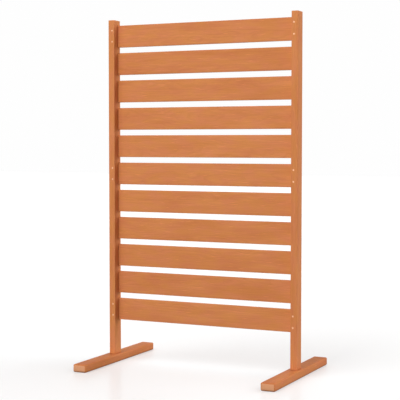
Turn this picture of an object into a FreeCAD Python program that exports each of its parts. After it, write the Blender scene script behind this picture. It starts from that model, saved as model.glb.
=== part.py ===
"""Free-standing garden privacy screen of oiled hardwood, in millimetres.

Two upright posts stand on two long feet and hold a ladder of eleven wide horizontal slats. Every
slat's ends sit in blind mortises in the posts' inner faces, behind their middle. The bottom, middle and
top slats are locked by countersunk screws driven through the posts from the front. Coach screws
with washers come up through counterbored holes in the feet into the posts' end grain.

Frame: +X to the right seen from the front, +Y to the back, +Z up. The origin is on the ground,
midway between the posts and midway along the feet.
"""

import FreeCAD, Part
import math
import os

# Slats
slat_count = 11
slat_height = 108.5
slat_thickness = 12.0
slat_gap = 27.4
slat_edge_radius = 2.0
ground_to_bottom_slat = 208.0

# Posts
span_between_posts = 935.0
post_width = 33.0
post_depth = 60.0
post_edge_radius = 2.5
post_above_top_slat = 24.5

# Feet
foot_length = 694.0
foot_width = 70.0
foot_height = 38.0
foot_edge_radius = 7.0

# Mortises that hold the slats' ends
mortise_depth = 22.0
mortise_back_wall = 10.2
mortise_side_clearance = 0.3
mortise_end_clearance = 0.8

# Countersunk screws that lock the bottom, middle and top slats
slat_screw_diameter = 4.5
slat_screw_head_diameter = 8.5
slat_screw_head_height = 3.2
slat_screw_rim = 0.5
slat_screw_head_recess = 0.3
slat_screw_bite = 9.0
slat_screw_tip_length = 5.0
slat_screw_inset = 12.5
slat_screw_spacing = 54.5
slat_screw_cross_length = 4.4
slat_screw_cross_width = 1.1
slat_screw_cross_depth = 1.8

# Coach screws and washers that join the posts to the feet
coach_screw_diameter = 6.0
coach_screw_bite = 62.0
coach_screw_tip_length = 7.0
coach_screw_spacing = 32.0
coach_screw_head_across_flats = 10.0
coach_screw_head_height = 4.2
washer_diameter = 16.0
washer_thickness = 1.6
washer_hole_clearance = 0.4
counterbore_clearance = 1.0
counterbore_depth = 9.0

# Radial room round every screw
screw_clearance = 0.1

# Worked out from the sizes above
slat_pitch = slat_height + slat_gap
slats_top = ground_to_bottom_slat + slat_count * slat_pitch - slat_gap
overall_height = slats_top + post_above_top_slat
post_inner_face = span_between_posts / 2
post_centre = post_inner_face + post_width / 2
post_front = -post_depth / 2
post_back = post_depth / 2
slat_back = post_back - mortise_back_wall - mortise_side_clearance
slat_front = slat_back - slat_thickness
slat_reach = post_inner_face + mortise_depth - mortise_end_clearance
slat_screw_start = post_front + slat_screw_head_recess
slat_screw_end = slat_front + slat_screw_bite
washer_top = counterbore_depth
washer_bottom = washer_top - washer_thickness
coach_screw_end = foot_height + coach_screw_bite

SIDES = {"left": -1, "right": 1}
LOCKED_SLATS = {"bottom": 0, "middle": slat_count // 2, "top": slat_count - 1}
X_AXIS = FreeCAD.Vector(1, 0, 0)
Y_AXIS = FreeCAD.Vector(0, 1, 0)
Z_AXIS = FreeCAD.Vector(0, 0, 1)


def box_between(low, high):
    """A plain box from its lowest to its highest corner."""
    low = FreeCAD.Vector(*low)
    size = FreeCAD.Vector(*high) - low
    return Part.makeBox(size.x, size.y, size.z, low)


def runs_along(edge, axis):
    """Whether a straight edge is parallel to an axis."""
    return abs(edge.tangentAt(edge.FirstParameter).dot(axis)) > 0.99


def slat_bottom(index):
    """Height of a slat's lower edge, counted from 0 at the lowest slat."""
    return ground_to_bottom_slat + index * slat_pitch


def slat_bar(index, left_end, right_end, growth=0.0):
    """A slat's section with its eased edges, grown all round, from one end to the other."""
    bottom = slat_bottom(index)
    bar = box_between(
        (left_end, slat_front - growth, bottom - growth),
        (right_end, slat_back + growth, bottom + slat_height + growth),
    )
    long_edges = [edge for edge in bar.Edges if runs_along(edge, X_AXIS)]
    return bar.makeFillet(slat_edge_radius + growth, long_edges)


def turned(outline, start, direction):
    """A solid of revolution about a line, from (distance along it, radius) pairs."""
    across = X_AXIS
    points = [start + direction * along + across * radius for along, radius in outline]
    loop = Part.makePolygon([start + direction * outline[0][0]] + points
                            + [start + direction * outline[-1][0], start + direction * outline[0][0]])
    return Part.Face(loop).revolve(start, direction, 360)


def slat_screw_places(side, index):
    """Where the two screws of a locked slat enter the front of a post."""
    x = side * (post_inner_face + slat_screw_inset)
    middle = slat_bottom(index) + slat_height / 2
    return [FreeCAD.Vector(x, slat_screw_start, middle + half * slat_screw_spacing / 2) for half in (-1, 1)]


def slat_screw_form(place, room=0.0):
    """The turned form of a countersunk screw that points to the back, with room round it for its hole."""
    shank = slat_screw_diameter / 2 + room
    head = slat_screw_head_diameter / 2 + room
    length = slat_screw_end - slat_screw_start
    outline = [
        (-slat_screw_head_recess if room else 0.0, head),
        (slat_screw_rim, head),
        (slat_screw_head_height, shank),
        (length - slat_screw_tip_length, shank),
        (length + room, room / 2 if room else slat_screw_diameter / 12),
    ]
    return turned(outline, place, Y_AXIS)


def slat_screw(place):
    """A countersunk screw with a cross recess in its head."""
    screw = slat_screw_form(place)
    long_half = slat_screw_cross_length / 2
    short_half = slat_screw_cross_width / 2
    for half_x, half_z in ((long_half, short_half), (short_half, long_half)):
        slot = box_between(
            (place.x - half_x, place.y - slat_screw_rim, place.z - half_z),
            (place.x + half_x, place.y + slat_screw_cross_depth, place.z + half_z),
        )
        screw = screw.cut(slot)
    return screw


def coach_screw_places(side):
    """Where a post's coach screws stand, at the ground."""
    return [FreeCAD.Vector(side * post_centre, half * coach_screw_spacing / 2, 0) for half in (-1, 1)]


def coach_screw_shank(place, room=0.0):
    """The shank of a coach screw, from under its head to its tip, with room round it for its hole."""
    radius = coach_screw_diameter / 2 + room
    outline = [
        (washer_bottom, radius),
        (coach_screw_end - coach_screw_tip_length, radius),
        (coach_screw_end + room, room / 2 if room else coach_screw_diameter / 12),
    ]
    return turned(outline, place, Z_AXIS)


def coach_screw(place):
    """A coach screw with its hexagon head, pointing up."""
    corner_radius = coach_screw_head_across_flats / math.sqrt(3)
    head_bottom = washer_bottom - coach_screw_head_height
    corners = [
        FreeCAD.Vector(place.x + corner_radius * math.cos(math.radians(60 * turn)),
                       place.y + corner_radius * math.sin(math.radians(60 * turn)), head_bottom)
        for turn in range(7)
    ]
    head = Part.Face(Part.makePolygon(corners)).extrude(Z_AXIS * coach_screw_head_height)
    return head.fuse(coach_screw_shank(place)).removeSplitter()


def washer(place):
    """A flat washer at the top of a counterbore."""
    bottom = FreeCAD.Vector(place.x, place.y, washer_bottom)
    disc = Part.makeCylinder(washer_diameter / 2, washer_thickness, bottom)
    hole = Part.makeCylinder(coach_screw_diameter / 2 + washer_hole_clearance, washer_thickness, bottom)
    return disc.cut(hole)


def post(side):
    """A post with its eased edges, mortises and screw holes."""
    inner = side * post_inner_face
    outer = side * (post_inner_face + post_width)
    body = box_between((min(inner, outer), post_front, foot_height), (max(inner, outer), post_back, overall_height))
    eased = [
        edge for edge in body.Edges
        if runs_along(edge, Z_AXIS) or edge.CenterOfMass.z > overall_height - post_edge_radius
    ]
    body = body.makeFillet(post_edge_radius, eased)
    for index in range(slat_count):
        mortise_end = side * (post_inner_face + mortise_depth)
        start = side * (post_inner_face - post_edge_radius)
        body = body.cut(slat_bar(index, min(start, mortise_end), max(start, mortise_end), mortise_side_clearance))
    for index in LOCKED_SLATS.values():
        for place in slat_screw_places(side, index):
            body = body.cut(slat_screw_form(place, screw_clearance))
    for place in coach_screw_places(side):
        body = body.cut(coach_screw_shank(place, screw_clearance))
    return body


def foot(side):
    """A foot with all its edges eased and a counterbored hole for each coach screw."""
    centre = side * post_centre
    body = box_between(
        (centre - foot_width / 2, -foot_length / 2, 0), (centre + foot_width / 2, foot_length / 2, foot_height)
    )
    body = body.makeFillet(foot_edge_radius, body.Edges)
    for place in coach_screw_places(side):
        counterbore = Part.makeCylinder(washer_diameter / 2 + counterbore_clearance, counterbore_depth, place)
        body = body.cut(counterbore).cut(coach_screw_shank(place, screw_clearance))
    return body


def slat(index):
    """A slat, with holes for its screws where it is a locked one."""
    bar = slat_bar(index, -slat_reach, slat_reach)
    if index in LOCKED_SLATS.values():
        for side in SIDES.values():
            for place in slat_screw_places(side, index):
                bar = bar.cut(slat_screw_form(place, screw_clearance))
    return bar


def build():
    """Every node's name and shape."""
    nodes = {}
    for side_name, side in SIDES.items():
        nodes[side_name + "_post"] = post(side)
        nodes[side_name + "_foot"] = foot(side)
        nodes[side_name + "_coach_screws"] = Part.makeCompound([coach_screw(p) for p in coach_screw_places(side)])
        nodes[side_name + "_coach_washers"] = Part.makeCompound([washer(p) for p in coach_screw_places(side)])
        for level, index in LOCKED_SLATS.items():
            screws = [slat_screw(place) for place in slat_screw_places(side, index)]
            nodes["%s_%s_slat_screws" % (side_name, level)] = Part.makeCompound(screws)
    for index in range(slat_count):
        nodes["slat_%02d" % (index + 1)] = slat(index)
    return nodes


os.makedirs("parts", exist_ok=True)
for name, shape in build().items():
    shape.exportStep("parts/%s.step" % name)
    print("%-28s %2d solid(s) %10.0f mm3 valid %s" % (name, len(shape.Solids), shape.Volume, shape.isValid()))
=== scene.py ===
"""A free-standing garden privacy screen of oiled hardwood, in metres.

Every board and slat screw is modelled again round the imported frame, with the same sizes and seats, and
stands for its node. The coach screws and washers under the feet keep their own shapes and get a finish.
"""

import math

import bmesh
import bpy
from mathutils import Matrix, Vector, noise


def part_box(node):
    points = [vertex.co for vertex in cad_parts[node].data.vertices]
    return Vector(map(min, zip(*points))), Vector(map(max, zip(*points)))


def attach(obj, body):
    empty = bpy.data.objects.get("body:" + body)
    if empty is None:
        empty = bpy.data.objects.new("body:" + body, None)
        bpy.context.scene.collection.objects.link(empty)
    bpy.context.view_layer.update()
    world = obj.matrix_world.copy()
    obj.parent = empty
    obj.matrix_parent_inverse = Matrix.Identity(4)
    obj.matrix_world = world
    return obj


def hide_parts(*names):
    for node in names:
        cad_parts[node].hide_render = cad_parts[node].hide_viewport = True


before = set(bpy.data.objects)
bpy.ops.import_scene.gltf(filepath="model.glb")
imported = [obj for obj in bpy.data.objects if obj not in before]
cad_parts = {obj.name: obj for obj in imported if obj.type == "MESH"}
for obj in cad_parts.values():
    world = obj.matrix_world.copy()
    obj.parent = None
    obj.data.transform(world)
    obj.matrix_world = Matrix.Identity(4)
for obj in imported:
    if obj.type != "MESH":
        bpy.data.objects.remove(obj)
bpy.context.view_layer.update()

MM = 0.001

# Axes by number, their directions, and the axes across and through a board whose grain runs along each
X, Y, Z = range(3)
DIRECTIONS = (Vector((1, 0, 0)), Vector((0, 1, 0)), Vector((0, 0, 1)))
CROSS_AXES = {X: (Z, Y), Y: (X, Z), Z: (X, Y)}
NEARLY_PARALLEL = 0.99

# The pieces
SLAT_COUNT = 11
SIDES = ("left", "right")
LEVEL_SLATS = {"bottom": 1, "middle": SLAT_COUNT // 2 + 1, "top": SLAT_COUNT}
SLAT_NODE = "slat_%02d"
SLAT_SCREWS_NODE = "%s_%s_slat_screws"

# The boards' own shapes
SLAT_EDGE_RADIUS = 2.0 * MM
POST_EDGE_RADIUS = 2.5 * MM
FOOT_EDGE_RADIUS = 7.0 * MM
EDGE_STEPS = 4
CROSS_CUT_SPACING = 24 * MM
LENGTHWISE_CUT_SPACING = 15 * MM
BOARD_SMOOTH_ANGLE = 35

# The hand planing: its depth, its waves per metre along and across a board, and its seed
PLANING_DEPTH = 0.22 * MM
PLANING_ALONG = 5.0
PLANING_ACROSS = 22.0
PLANING_SEED = Vector((3.1, 5.7, 9.2))

# The seats cut into the boards
MORTISE_DEPTH = 22.0 * MM
MORTISE_SIDE_ROOM = 0.3 * MM
SCREW_ROOM = 0.1 * MM
COUNTERBORE_RADIUS = 9.0 * MM
COUNTERBORE_DEPTH = 9.0 * MM

# The countersunk screws
SCREW_DIAMETER = 4.5 * MM
SCREW_HEAD_DIAMETER = 8.5 * MM
SCREW_HEAD_HEIGHT = 3.2 * MM
SCREW_RIM = 0.5 * MM
SCREW_RIM_CHAMFER = 0.15 * MM
SCREW_HEAD_RECESS = 0.3 * MM
SCREW_TIP_LENGTH = 5.0 * MM
SCREW_TIP_RADIUS = SCREW_DIAMETER / 12
SCREW_HOLE_START = -3 * SCREW_HEAD_RECESS
SCREW_SIDES = 40
SCREW_SMOOTH_ANGLE = 30
FACING_BACK = Matrix.Rotation(math.radians(-90), 4, "X")

# The cross in their heads, and how much of a blade's length and width is left at its bottom
CROSS_LENGTH = 4.6 * MM
CROSS_WIDTH = 1.15 * MM
CROSS_DEPTH = 1.9 * MM
CROSS_LENGTH_LEFT = 0.55
CROSS_WIDTH_LEFT = 0.8

# The coach screws
COACH_SCREW_DIAMETER = 6.0 * MM
COACH_SCREW_TIP_LENGTH = 7.0 * MM

# The wood's colours
DARK_WOOD = (0.55, 0.177, 0.057, 1.0)
LIGHT_WOOD = (0.73, 0.283, 0.108, 1.0)
END_GRAIN = (0.78, 0.365, 0.187, 1.0)
# Factors that make the feet's wood darker and redder: painted shade for their sides near the ground
FOOT_PAINTED_SHADE = (0.94, 0.90, 0.86)
YELLOWER = (1.0, 1.035, 0.92, 1.0)
PINKER = (1.0, 0.965, 1.08, 1.0)

# The wood's noises: their scale along and across the grain, for places in millimetres, and their detail
RING_WANDER = (0.0035, 0.012, 2.0)
RING_RIPPLE = (0.02, 0.05, 3.0)
STREAKS = (0.006, 0.15, 4.0)
CLOUDS = (0.004, 0.02, 2.0)
PORES = (0.05, 1.7, 2.0)
FIBRES = (0.012, 0.8, 3.0)
FLECKS = (0.02, 0.22, 1.0)
HUES = (0.012, 0.03, 2.0)

# The growth rings, in millimetres: their spacing, how far they stray, and where their heart lies
RING_SPACING = 3.4
RING_WANDER_REACH = 26.0
RING_RIPPLE_REACH = 2.4
HEART_DISTANCE = 55.0
HEART_SPREAD_THROUGH = 60.0
HEART_SPREAD_ACROSS = 120.0

# The share of a ring at which its late wood begins and is darkest
LATE_WOOD_START = 0.35
LATE_WOOD_PEAK = 0.93

# What sets one board's grain apart from the next, by its number
BOARD_SEED = 0.37
BOARD_SHIFT = 137.0

# From where to where on its noise a mark fades in, or a colour turns to the next
PORE_RANGE = (0.60, 0.70)
PALE_FLECK_RANGE = (0.64, 0.76)
DARK_FLECK_RANGE = (0.65, 0.77)
BRIGHTNESS_RANGE = (0.05, 0.95)
HUE_RANGE = (0.3, 0.7)

# How far a face points along the grain before it counts as an end
END_NORMAL_RANGE = (0.88, 0.99)

# In millimetres: how far up the painted shadow along the ground fades out, and how far the dark flecks lie
# beside the pale ones
GROUND_SHADOW_HEIGHT_RANGE = (1.0, 13.0)
DARK_FLECK_OFFSET = 2.5

# How much each noise moves the brightness
STREAK_WEIGHT = 0.38
CLOUD_WEIGHT = 0.5
FIBRE_WEIGHT = 0.45
BOARD_WEIGHT = 0.10

# How far each mark turns the colour, and the shade of the wood that it turns to
LATE_WOOD_MARK = (0.13, 0.72)
PORE_MARK = (0.26, 0.55)
DARK_FLECK_MARK = (0.20, 0.7)
PALE_FLECK_MARK = (0.30, 1.35)
# painted shadow along the ground, where the feet meet the floor
GROUND_SHADOW_MARK = (0.5, 0.4)

# How far late wood and pores turn the end grain, and the shade of it that they turn it to
END_LATE_WOOD = 0.55
END_PORES = 0.2
END_SHADE = 0.62

# The wood's surface
WOOD_GLOSS = 0.035
WOOD_IOR = 1.5
WOOD_ROUGHNESS = 0.50
STREAK_ROUGHNESS = 0.16
PORE_ROUGHNESS = 0.12
END_ROUGHNESS = 0.15
STREAK_RELIEF = 0.25
PORE_RELIEF = 0.6
LATE_WOOD_RELIEF = 0.18
WOOD_BUMP = 0.35
WOOD_BUMP_HEIGHT = 0.25 * MM

# The screws' plating
ZINC_DULL = (0.78, 0.45, 0.26, 1.0)
ZINC_BRIGHT = (0.88, 0.56, 0.36, 1.0)
ZINC_MOTTLE_SCALE = 900.0
ZINC_MOTTLE_DETAIL = 3.0
ZINC_MOTTLE_RANGE = (0.3, 0.7)
ZINC_MARKS_SCALE = 4200.0
ZINC_MARKS_DETAIL = 2.0
ZINC_METALLIC = 0.9
ZINC_ROUGHNESS = 0.58
ZINC_MOTTLE_ROUGHNESS = 0.12
ZINC_BUMP = 0.15
ZINC_BUMP_HEIGHT = 0.05 * MM

# The floor
FLOOR_SIZE = 60
FLOOR_COLOUR = (0.62, 0.62, 0.62, 1.0)
FLOOR_ROUGHNESS = 0.22
FLOOR_GLOSS = 0.02
FLOOR_GLOW = 0.355
WHITE = (1.0, 1.0, 1.0, 1.0)

# The camera
CAMERA_PLACE = (2.3652, -4.9681, 1.0947)
CAMERA_TURN = 25.567
CAMERA_TILT = -2.868
CAMERA_LENS = 102.79
SENSOR_WIDTH = 36.0

# The sky's glows: degrees to the right of the front, degrees up, reach in degrees, strength
SKY_GLOWS = ((-21, 50, 28, 3.0), (118, 14, 55, 2.42), (50, 25, 50, -0.30))
BACKDROP = (-154, 5, 60, 0.90)

# The rest of the sky, and its strength in gloss and to the camera
SKY_ABOVE = 0.47
SKY_BELOW = 0.05
HORIZON_BLEND = 0.06
SKY_IN_GLOSS = 0.35
SKY_SEEN = 0.992

# The lamp: its place in the sky as above, its width in degrees, and its strength
FRONT_LIGHT_PLACE = (-2, 3)
FRONT_LIGHT_WIDTH = 14
FRONT_LIGHT = 0.60


# ---------------------------------------------------------------- shader maths

class Value:
    """A shader socket that adds Math nodes when it is used in an expression."""

    def __init__(self, finish, socket):
        self.finish = finish
        self.socket = socket

    def maths(self, operation, *others):
        """The result of a Math node on this value and the others."""
        sockets = dict(enumerate((self, *others)))
        return self.finish.node("ShaderNodeMath", {"operation": operation}, sockets)["Value"]

    def __add__(self, other):
        return self.maths("ADD", other)

    def __radd__(self, other):
        return self.maths("ADD", other)

    def __sub__(self, other):
        return self.maths("SUBTRACT", other)

    def __rsub__(self, other):
        return (self * -1.0).maths("ADD", other)

    def __mul__(self, other):
        return self.maths("MULTIPLY", other)

    def __rmul__(self, other):
        return self.maths("MULTIPLY", other)

    def __truediv__(self, other):
        return self.maths("DIVIDE", other)

    def __abs__(self):
        return self.maths("ABSOLUTE")

    def between(self, low, high):
        """0 below low, 1 above high and smooth between them."""
        settings = {"interpolation_type": "SMOOTHSTEP"}
        sockets = {"Value": self, "From Min": low, "From Max": high, "To Min": 0.0, "To Max": 1.0}
        return self.finish.node("ShaderNodeMapRange", settings, sockets)["Result"]


class Node:
    """A shader node whose outputs are read by name or number."""

    def __init__(self, finish, node):
        self.finish = finish
        self.node = node

    def __getitem__(self, name):
        return Value(self.finish, self.node.outputs[name])


class Finish:
    """A node tree that is filled through one method."""

    def __init__(self, owner):
        owner.use_nodes = True
        self.owner = owner
        self.tree = owner.node_tree

    def node(self, kind, settings=None, sockets=None):
        """A node of a kind: its settings first, then the values or links of its sockets."""
        made = self.tree.nodes.new(kind)
        for name, setting in (settings or {}).items():
            setattr(made, name, setting)
        for name, given in (sockets or {}).items():
            self.feed(made.inputs[name], given)
        return Node(self, made)

    def feed(self, socket, given):
        """Links a value to a socket, or sets the socket to a constant."""
        if isinstance(given, Value):
            self.tree.links.new(given.socket, socket)
        else:
            socket.default_value = given

    def vector(self, x, y, z):
        """Three numbers as one vector."""
        return self.node("ShaderNodeCombineXYZ", {}, {"X": x, "Y": y, "Z": z})["Vector"]

    def noise(self, vector, scale, detail):
        """Smooth noise from 0 to 1."""
        sockets = {"Vector": vector, "Scale": scale, "Detail": detail}
        return self.node("ShaderNodeTexNoise", {}, sockets)["Fac"]

    def mix(self, share, first, second):
        """The first colour, turning to the second as the share goes to 1.

        The node has several sockets of each name, so the ones for colours are taken by number.
        """
        factor_socket, first_socket, second_socket, result_socket = 0, 6, 7, 2
        sockets = {factor_socket: share, first_socket: first, second_socket: second}
        return self.node("ShaderNodeMix", {"data_type": "RGBA"}, sockets)[result_socket]

    def tint(self, colour, by):
        """A colour multiplied by another."""
        sockets = {0: colour, 1: by}
        return self.node("ShaderNodeVectorMath", {"operation": "MULTIPLY"}, sockets)["Vector"]

    def glow(self, direction, azimuth, height, reach, strength):
        """Light that fades out over its reach in degrees from a place in the sky."""
        sockets = {0: direction, 1: toward(azimuth, height)}
        aim = self.node("ShaderNodeVectorMath", {"operation": "DOT_PRODUCT"}, sockets)["Value"]
        return aim.between(math.cos(math.radians(reach)), 1.0) * strength

    def surface(self, sockets):
        """Sets the principled shader's constants and links."""
        shader = self.tree.nodes["Principled BSDF"]
        for name, given in sockets.items():
            self.feed(shader.inputs[name], given)


def shaded(colour, factor):
    """A colour multiplied by a number, or by a number each for red, green and blue."""
    factors = factor if isinstance(factor, tuple) else (factor, factor, factor)
    return tuple(share * part for share, part in zip(factors, colour)) + (1.0,)


# ---------------------------------------------------------------- finishes

def oiled_hardwood(name, along, board_number, board_middle, tones, end_tone):
    """Fine straight-grained wood with soft rings, streaks, pores and paler end grain.

    along is the grain's axis. board_number gives a number for the board that a point is on, from the
    point's three coordinates. board_middle gives the place of that board's middle across the grain, from
    its number. These lengths are in millimetres.
    """
    finish = Finish(bpy.data.materials.new(name))
    coordinates = finish.node("ShaderNodeTexCoord")
    place = finish.node("ShaderNodeSeparateXYZ", {}, {0: coordinates["Object"]})
    facing = finish.node("ShaderNodeSeparateXYZ", {}, {0: coordinates["Normal"]})
    axes = [place[letter] / MM for letter in "XYZ"]
    across, through = (axes[axis] for axis in CROSS_AXES[along])
    number = board_number(axes)
    seed = {"W": number + BOARD_SEED}
    chance = finish.node("ShaderNodeTexWhiteNoise", {"noise_dimensions": "1D"}, seed)
    chances = finish.node("ShaderNodeSeparateColor", {}, {0: chance["Color"]})
    lengthwise = axes[along] + number * BOARD_SHIFT
    dark, light = tones

    def grain(scales, sideways=across):
        """Noise that is drawn out along the grain."""
        long_scale, cross_scale, detail = scales
        point = finish.vector(lengthwise * long_scale, sideways * cross_scale, through * cross_scale)
        return finish.noise(point, 1.0, detail)

    def marked(colour, mask, mark, wood):
        """A colour that turns, under a mask, to a darker or lighter shade of the wood."""
        share, shade = mark
        return finish.mix(mask * share, colour, shaded(wood, shade))

    # growth rings round a heart that lies outside the board
    stray = grain(RING_WANDER) * RING_WANDER_REACH
    ripple = grain(RING_RIPPLE) * RING_RIPPLE_REACH
    heart_across = across - board_middle(number) - (chances["Red"] - 0.5) * HEART_SPREAD_ACROSS
    heart_through = through + HEART_DISTANCE + chances["Green"] * HEART_SPREAD_THROUGH
    radius = (heart_across * heart_across + heart_through * heart_through).maths("SQRT")
    ring = ((radius + stray + ripple) / RING_SPACING).maths("FRACT")
    ring_end = 1.0 - ring.between(LATE_WOOD_PEAK, 1.0)
    late_wood = ring.between(LATE_WOOD_START, LATE_WOOD_PEAK) * ring_end

    # streaks, pores and flecks that run with the grain
    streak = grain(STREAKS)
    pores = grain(PORES).between(*PORE_RANGE)
    pale_fleck = grain(FLECKS).between(*PALE_FLECK_RANGE)
    dark_fleck = grain(FLECKS, across - DARK_FLECK_OFFSET).between(*DARK_FLECK_RANGE)

    brightness = 0.5
    for drift, weight in ((streak, STREAK_WEIGHT), (grain(CLOUDS), CLOUD_WEIGHT),
                          (grain(FIBRES), FIBRE_WEIGHT), (chances["Blue"], BOARD_WEIGHT)):
        brightness = brightness + (drift - 0.5) * weight
    colour = finish.mix(brightness.between(*BRIGHTNESS_RANGE), dark, light)
    hue = finish.mix(grain(HUES).between(*HUE_RANGE), YELLOWER, PINKER)
    colour = finish.tint(colour, hue)
    colour = marked(colour, late_wood, LATE_WOOD_MARK, dark)
    colour = marked(colour, pores, PORE_MARK, dark)
    colour = marked(colour, dark_fleck, DARK_FLECK_MARK, dark)
    colour = marked(colour, pale_fleck, PALE_FLECK_MARK, light)

    # the ends show the rings head on, paler and duller
    end = abs(facing["XYZ"[along]]).between(*END_NORMAL_RANGE)
    end_rings = late_wood * END_LATE_WOOD + pores * END_PORES
    colour = finish.mix(end, colour, finish.mix(end_rings, end_tone, shaded(end_tone, END_SHADE)))

    # painted shadow: the feet are darker along the ground, where they meet the floor
    ground_shadow = 1.0 - axes[Z].between(*GROUND_SHADOW_HEIGHT_RANGE)
    colour = marked(colour, ground_shadow, GROUND_SHADOW_MARK, dark)

    roughness = WOOD_ROUGHNESS + (streak - 0.5) * STREAK_ROUGHNESS
    roughness = roughness + pores * PORE_ROUGHNESS + end * END_ROUGHNESS
    relief = streak * STREAK_RELIEF - pores * PORE_RELIEF + late_wood * LATE_WOOD_RELIEF
    bump = finish.node("ShaderNodeBump", {}, {
        "Strength": WOOD_BUMP,
        "Distance": WOOD_BUMP_HEIGHT,
        "Height": relief,
    })
    finish.surface({
        "Base Color": colour,
        "Roughness": roughness,
        "Specular IOR Level": WOOD_GLOSS,
        "IOR": WOOD_IOR,
        "Normal": bump["Normal"],
    })
    return finish.owner


def board_finishes():
    """The wood of the slats, of the posts and of the feet."""
    slat_low, slat_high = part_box(SLAT_NODE % 1)
    next_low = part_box(SLAT_NODE % 2)[0]
    pitch = (next_low.z - slat_low.z) / MM
    first_middle = (slat_low.z + slat_high.z) / 2 / MM
    post_low, post_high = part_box("right_post")
    post_middle = (post_low.x + post_high.x) / 2 / MM

    def which_slat(axes):
        """0 on the lowest slat, counting upwards."""
        return ((axes[Z] - first_middle) / pitch + 0.5).maths("FLOOR")

    def slat_middle(number):
        return number * pitch + first_middle

    def which_side(axes):
        """0 on the left and 1 on the right."""
        return axes[X].between(-1.0, 1.0).maths("ROUND")

    def side_middle(number):
        return (number * 2.0 - 1.0) * post_middle

    tones = (DARK_WOOD, LIGHT_WOOD)
    # painted shade: the feet's wood is darkened
    shaded_foot_tones = (shaded(DARK_WOOD, FOOT_PAINTED_SHADE), shaded(LIGHT_WOOD, FOOT_PAINTED_SHADE))
    return (
        oiled_hardwood("oiled_slat_wood", X, which_slat, slat_middle, tones, END_GRAIN),
        oiled_hardwood("oiled_post_wood", Z, which_side, side_middle, tones, LIGHT_WOOD),
        oiled_hardwood("oiled_foot_wood", Y, which_side, side_middle, shaded_foot_tones, END_GRAIN),
    )


def yellow_zinc():
    """Yellow zinc plating with a faint mottle and fine turning marks."""
    finish = Finish(bpy.data.materials.new("yellow_zinc"))
    place = finish.node("ShaderNodeTexCoord")["Object"]
    mottle = finish.noise(place, ZINC_MOTTLE_SCALE, ZINC_MOTTLE_DETAIL)
    bump = finish.node("ShaderNodeBump", {}, {
        "Strength": ZINC_BUMP,
        "Distance": ZINC_BUMP_HEIGHT,
        "Height": finish.noise(place, ZINC_MARKS_SCALE, ZINC_MARKS_DETAIL),
    })
    finish.surface({
        "Base Color": finish.mix(mottle.between(*ZINC_MOTTLE_RANGE), ZINC_DULL, ZINC_BRIGHT),
        "Metallic": ZINC_METALLIC,
        "Roughness": ZINC_ROUGHNESS + mottle * ZINC_MOTTLE_ROUGHNESS,
        "Normal": bump["Normal"],
    })
    return finish.owner


# ---------------------------------------------------------------- modelling

def begin(piece_name):
    """Names the primitive that was just added and puts its place in its mesh."""
    piece = bpy.context.object
    piece.name = piece_name
    piece.data.name = piece_name
    bpy.ops.object.transform_apply(location=True, rotation=True, scale=True)
    return piece


def make_active(piece):
    """Selects one piece alone."""
    bpy.ops.object.select_all(action="DESELECT")
    piece.select_set(True)
    bpy.context.view_layer.objects.active = piece


def pick_edges(piece, test):
    """Selects, in edit mode, the edges whose two ends pass a test."""
    mesh = bmesh.from_edit_mesh(piece.data)
    for face in mesh.faces:
        face.select = False
    for edge in mesh.edges:
        edge.select = test(edge.verts[0].co, edge.verts[1].co)
    mesh.select_flush(True)
    bmesh.update_edit_mesh(piece.data)


def is_long_edge(axis):
    """A test for the edges that run along an axis."""
    return lambda a, b: abs((b - a).normalized()[axis]) > NEARLY_PARALLEL


def plank(name, low, high, radius, is_eased):
    """A sawn board between two corners, with its eased edges rounded."""
    bpy.ops.object.select_all(action="DESELECT")
    bpy.ops.mesh.primitive_cube_add(size=1, location=(low + high) / 2, scale=high - low)
    piece = begin(name)
    bpy.ops.object.mode_set(mode="EDIT")
    bpy.ops.mesh.select_mode(type="EDGE")
    pick_edges(piece, is_eased)
    bpy.ops.mesh.bevel(offset=radius, segments=EDGE_STEPS, affect="EDGES")
    bpy.ops.object.mode_set(mode="OBJECT")
    return piece


def cut_across(piece, axis, low, high, spacing):
    """Divides a board by evenly spaced cuts square to an axis."""
    count = max(1, round((high[axis] - low[axis]) / spacing))
    normal = DIRECTIONS[axis]
    make_active(piece)
    bpy.ops.object.mode_set(mode="EDIT")
    for step in range(1, count):
        at = low[axis] + (high[axis] - low[axis]) * step / count
        bpy.ops.mesh.select_all(action="SELECT")
        bpy.ops.mesh.bisect(plane_co=normal * at, plane_no=normal)
    bpy.ops.object.mode_set(mode="OBJECT")


def plane_by_hand(piece, along, low, high):
    """Lets the long faces dip inwards by a fraction of a millimetre, as planed and sanded wood does."""
    middle = (low + high) / 2
    half = (high - low) / 2
    waves = Vector((PLANING_ACROSS, PLANING_ACROSS, PLANING_ACROSS))
    waves[along] = PLANING_ALONG
    for vertex in piece.data.vertices:
        offset = vertex.co - middle
        for axis in sorted(CROSS_AXES[along]):
            side = offset[axis] / half[axis]
            face_number = axis + (1 if side > 0 else 4)
            sample = vertex.co * waves + PLANING_SEED * face_number
            dip = (noise.noise(sample) * 0.5 + 0.5) * PLANING_DEPTH
            vertex.co[axis] -= side * dip
    piece.data.update()


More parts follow.
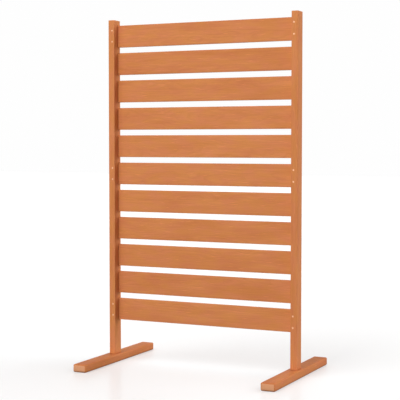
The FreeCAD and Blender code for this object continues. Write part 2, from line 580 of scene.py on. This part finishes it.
def turned(name, outline):
    """A solid turned about +Z at the origin, from (height, radius) pairs."""
    bpy.ops.object.select_all(action="DESELECT")
    height, radius = outline[0]
    bpy.ops.mesh.primitive_circle_add(
        vertices=SCREW_SIDES, radius=radius, fill_type="NGON", location=(0, 0, height))
    piece = begin(name)
    bpy.ops.object.mode_set(mode="EDIT")
    bpy.ops.mesh.select_mode(type="FACE")
    bpy.ops.mesh.select_all(action="SELECT")
    for next_height, next_radius in outline[1:]:
        rise = (0, 0, next_height - height)
        bpy.ops.mesh.extrude_region_move(TRANSFORM_OT_translate={"value": rise})
        growth = next_radius / radius
        bpy.ops.transform.resize(value=(growth, growth, 1))
        height, radius = next_height, next_radius
    bpy.ops.mesh.select_all(action="SELECT")
    bpy.ops.mesh.normals_make_consistent(inside=False)
    bpy.ops.object.mode_set(mode="OBJECT")
    return piece


def copied(piece, name, matrix):
    """A copy with its own mesh, moved in its mesh."""
    copy = piece.copy()
    copy.data = piece.data.copy()
    copy.name = name
    copy.data.name = name
    copy.data.transform(matrix)
    bpy.context.scene.collection.objects.link(copy)
    return copy


def joined(name, parts):
    """Several pieces as one mesh."""
    bpy.ops.object.select_all(action="DESELECT")
    for part in parts:
        part.select_set(True)
    bpy.context.view_layer.objects.active = parts[0]
    bpy.ops.object.join()
    parts[0].name = name
    parts[0].data.name = name
    return parts[0]


def carve(piece, cutters):
    """Cuts other pieces out of a piece and deletes them."""
    for cutter in cutters:
        make_active(piece)
        modifier = piece.modifiers.new("seat", "BOOLEAN")
        modifier.operation = "DIFFERENCE"
        modifier.solver = "EXACT"
        modifier.object = cutter
        bpy.ops.object.modifier_apply(modifier=modifier.name)
        bpy.data.objects.remove(cutter)


def smooth(piece, angle):
    """Shades a piece smooth, apart from edges sharper than an angle in degrees."""
    make_active(piece)
    bpy.ops.object.shade_smooth_by_angle(angle=math.radians(angle))


def dress(piece, node, material):
    """Puts a piece in place of a node, on the only body."""
    piece.data.materials.clear()
    piece.data.materials.append(material)
    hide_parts(node)
    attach(piece, "root")


# ---------------------------------------------------------------- the screws and their holes

def slat_screw_places(side, level):
    """Where the middles of a pair of screw heads lie."""
    low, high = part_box(SLAT_SCREWS_NODE % (side, level))
    middle = (low.x + high.x) / 2
    head = SCREW_HEAD_DIAMETER / 2
    return [Vector((middle, low.y, z)) for z in (low.z + head, high.z - head)]


def slat_screw_length(side, level):
    """The length of a slat screw, from its head's face to its tip."""
    low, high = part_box(SLAT_SCREWS_NODE % (side, level))
    return high.y - low.y


def slat_screw_holes(side, level):
    """What a pair of screws and their sunk heads take out of the wood."""
    head = SCREW_HEAD_DIAMETER / 2 + SCREW_ROOM
    shank = SCREW_DIAMETER / 2 + SCREW_ROOM
    length = slat_screw_length(side, level)
    outline = [
        (SCREW_HOLE_START, head),
        (SCREW_RIM, head),
        (SCREW_HEAD_HEIGHT, shank),
        (length - SCREW_TIP_LENGTH, shank),
        (length + SCREW_ROOM, SCREW_ROOM),
    ]
    holes = []
    for place in slat_screw_places(side, level):
        hole = turned("slat_screw_hole", outline)
        hole.data.transform(Matrix.Translation(place) @ FACING_BACK)
        holes.append(hole)
    return holes


def cross_cutter():
    """The two blades of a screwdriver's cross, which taper from the head's face at the origin."""
    blades = []
    lengthways = (CROSS_LENGTH, CROSS_LENGTH_LEFT)
    widthways = (CROSS_WIDTH, CROSS_WIDTH_LEFT)
    for (size_x, left_x), (size_y, left_y) in ((lengthways, widthways), (widthways, lengthways)):
        bpy.ops.object.select_all(action="DESELECT")
        bpy.ops.mesh.primitive_cube_add(
            size=1, location=(0, 0, CROSS_DEPTH / 2 - SCREW_RIM / 2),
            scale=(size_x, size_y, CROSS_DEPTH + SCREW_RIM))
        blade = begin("cross_blade")
        for vertex in blade.data.vertices:
            if vertex.co.z > 0:
                vertex.co.x *= left_x
                vertex.co.y *= left_y
        blades.append(blade)
    return blades


def slat_screw(length):
    """A countersunk screw with a cross recess, its head's face at the origin, pointing along +Z."""
    head = SCREW_HEAD_DIAMETER / 2
    shank = SCREW_DIAMETER / 2
    screw = turned("slat_screw", [
        (0, head - SCREW_RIM_CHAMFER),
        (SCREW_RIM_CHAMFER, head),
        (SCREW_RIM, head),
        (SCREW_HEAD_HEIGHT, shank),
        (length - SCREW_TIP_LENGTH, shank),
        (length, SCREW_TIP_RADIUS),
    ])
    carve(screw, cross_cutter())
    smooth(screw, SCREW_SMOOTH_ANGLE)
    return screw


def coach_screw_places(side):
    """The axes of a foot's coach screws at the ground."""
    low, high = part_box(side + "_coach_screws")
    middle = (low.x + high.x) / 2
    washer_low, washer_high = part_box(side + "_coach_washers")
    radius = (washer_high.x - washer_low.x) / 2
    return [Vector((middle, y, 0)) for y in (washer_low.y + radius, washer_high.y - radius)]


def coach_screw_holes(side):
    """What the shanks of a pair of coach screws take out of a foot and its post."""
    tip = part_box(side + "_coach_screws")[1].z
    shank = COACH_SCREW_DIAMETER / 2 + SCREW_ROOM
    outline = [
        (0, shank),
        (tip - COACH_SCREW_TIP_LENGTH, shank),
        (tip + SCREW_ROOM, SCREW_ROOM),
    ]
    holes = []
    for place in coach_screw_places(side):
        hole = turned("coach_screw_hole", outline)
        hole.data.transform(Matrix.Translation(place))
        holes.append(hole)
    return holes


# ---------------------------------------------------------------- the boards

def make_slat(number):
    """A slat with eased long edges, and screw holes at its ends where it is a locked one."""
    low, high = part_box(SLAT_NODE % number)
    slat = plank("slat_board_%02d" % number, low, high, SLAT_EDGE_RADIUS, is_long_edge(X))
    cut_across(slat, X, low, high, CROSS_CUT_SPACING)
    cut_across(slat, Z, low, high, LENGTHWISE_CUT_SPACING)
    plane_by_hand(slat, X, low, high)
    for level, locked in LEVEL_SLATS.items():
        if locked == number:
            for side in SIDES:
                carve(slat, slat_screw_holes(side, level))
    smooth(slat, BOARD_SMOOTH_ANGLE)
    return slat


def mortise(side, number):
    """What a slat's end takes out of a post."""
    slat_low, slat_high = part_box(SLAT_NODE % number)
    post_low, post_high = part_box(side + "_post")
    inner_face = post_high.x if side == "left" else post_low.x
    room = MORTISE_SIDE_ROOM
    low = Vector((inner_face - MORTISE_DEPTH, slat_low.y - room, slat_low.z - room))
    high = Vector((inner_face + MORTISE_DEPTH, slat_high.y + room, slat_high.z + room))
    return plank("mortise", low, high, SLAT_EDGE_RADIUS + room, is_long_edge(X))


def make_post(side):
    """A post with eased edges, blind mortises and screw holes."""
    low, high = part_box(side + "_post")
    is_vertical = is_long_edge(Z)
    near_top = high.z - POST_EDGE_RADIUS
    post = plank(side + "_post_board", low, high, POST_EDGE_RADIUS,
                 lambda a, b: is_vertical(a, b) or min(a.z, b.z) > near_top)
    cut_across(post, Z, low, high, CROSS_CUT_SPACING)
    plane_by_hand(post, Z, low, high)
    carve(post, [mortise(side, number) for number in range(1, SLAT_COUNT + 1)])
    for level in LEVEL_SLATS:
        carve(post, slat_screw_holes(side, level))
    carve(post, coach_screw_holes(side))
    smooth(post, BOARD_SMOOTH_ANGLE)
    return post


def counterbore(place):
    """What sinks a coach screw's head and washer into the underside of a foot."""
    bpy.ops.object.select_all(action="DESELECT")
    bpy.ops.mesh.primitive_cylinder_add(
        vertices=SCREW_SIDES, radius=COUNTERBORE_RADIUS, depth=2 * COUNTERBORE_DEPTH, location=place)
    return begin("counterbore")


def make_foot(side):
    """A foot with all its edges eased and counterbored holes underneath."""
    low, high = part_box(side + "_foot")
    foot = plank(side + "_foot_board", low, high, FOOT_EDGE_RADIUS, lambda a, b: True)
    cut_across(foot, Y, low, high, CROSS_CUT_SPACING)
    plane_by_hand(foot, Y, low, high)
    carve(foot, coach_screw_holes(side))
    carve(foot, [counterbore(place) for place in coach_screw_places(side)])
    smooth(foot, BOARD_SMOOTH_ANGLE)
    return foot


# ---------------------------------------------------------------- the studio

def make_camera():
    """The camera at the photograph's viewing angle."""
    camera = bpy.data.objects.new("camera", bpy.data.cameras.new("camera"))
    camera.data.lens = CAMERA_LENS
    camera.data.sensor_width = SENSOR_WIDTH
    camera.location = CAMERA_PLACE
    camera.rotation_euler = (math.radians(90 + CAMERA_TILT), 0, math.radians(CAMERA_TURN))
    bpy.context.scene.collection.objects.link(camera)
    bpy.context.scene.camera = camera


def make_floor():
    """A wide pale floor with a faint sheen."""
    bpy.ops.object.select_all(action="DESELECT")
    bpy.ops.mesh.primitive_plane_add(size=FLOOR_SIZE)
    floor = begin("floor")
    finish = Finish(bpy.data.materials.new("pale_floor"))
    finish.surface({
        "Base Color": FLOOR_COLOUR,
        "Roughness": FLOOR_ROUGHNESS,
        "Specular IOR Level": FLOOR_GLOSS,
        "Emission Color": WHITE,
        "Emission Strength": FLOOR_GLOW,
    })
    floor.data.materials.append(finish.owner)
    floor.visible_diffuse = False


def toward(azimuth, height):
    """The direction to a place in the sky: degrees to the right of the front, and degrees up."""
    azimuth = math.radians(azimuth)
    height = math.radians(height)
    level = math.cos(height)
    return (math.sin(azimuth) * level, -math.cos(azimuth) * level, math.sin(height))


def make_sky():
    """Near white to the camera. To the object it is dim, with soft glows, and dimmer at the front right.

    The glows are high in front and low on the right. The backdrop, behind on the left, only shows in gloss.
    """
    world = bpy.data.worlds.new("studio")
    bpy.context.scene.world = world
    finish = Finish(world)
    finish.tree.nodes.clear()
    direction = finish.node("ShaderNodeTexCoord")["Generated"]
    height = finish.node("ShaderNodeSeparateXYZ", {}, {0: direction})["Z"]
    level = SKY_BELOW + height.between(-HORIZON_BLEND, HORIZON_BLEND) * (SKY_ABOVE - SKY_BELOW)
    for glow in SKY_GLOWS:
        level = level + finish.glow(direction, *glow)
    level = level.maths("MAXIMUM", 0.0)
    rays = finish.node("ShaderNodeLightPath")
    in_gloss = level * SKY_IN_GLOSS + finish.glow(direction, *BACKDROP)
    level = level + rays["Is Glossy Ray"] * (in_gloss - level)
    strength = level + rays["Is Camera Ray"] * (SKY_SEEN - level)
    background = finish.node("ShaderNodeBackground", {}, {"Color": WHITE, "Strength": strength})
    finish.node("ShaderNodeOutputWorld", {}, {"Surface": background["Background"]})


def make_front_light():
    """A broad lamp far in front of the screen, little above the horizon."""
    data = bpy.data.lights.new("front_light", "SUN")
    data.energy = FRONT_LIGHT * math.pi
    data.angle = math.radians(FRONT_LIGHT_WIDTH)
    lamp = bpy.data.objects.new("front_light", data)
    lamp.rotation_euler = Vector(toward(*FRONT_LIGHT_PLACE)).to_track_quat("Z", "Y").to_euler()
    bpy.context.scene.collection.objects.link(lamp)


def make_studio():
    """The camera, floor and light, with colours shown as they are."""
    make_camera()
    make_floor()
    make_sky()
    make_front_light()
    settings = bpy.context.scene.view_settings
    settings.view_transform = "Standard"
    settings.look = "None"


# ---------------------------------------------------------------- the whole screen

def build():
    """Makes every board and screw in its finish."""
    slat_wood, post_wood, foot_wood = board_finishes()
    zinc = yellow_zinc()
    for number in range(1, SLAT_COUNT + 1):
        dress(make_slat(number), SLAT_NODE % number, slat_wood)
    pattern = slat_screw(slat_screw_length("left", "top"))
    for side in SIDES:
        dress(make_post(side), side + "_post", post_wood)
        dress(make_foot(side), side + "_foot", foot_wood)
        for level in LEVEL_SLATS:
            name = "%s_%s_screw_pair" % (side, level)
            places = slat_screw_places(side, level)
            pair = [copied(pattern, name, Matrix.Translation(place) @ FACING_BACK) for place in places]
            dress(joined(name, pair), SLAT_SCREWS_NODE % (side, level), zinc)
        for kind in ("_coach_screws", "_coach_washers"):
            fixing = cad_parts[side + kind]
            fixing.data.materials.clear()
            fixing.data.materials.append(zinc)
    bpy.data.objects.remove(pattern)


build()
make_studio()
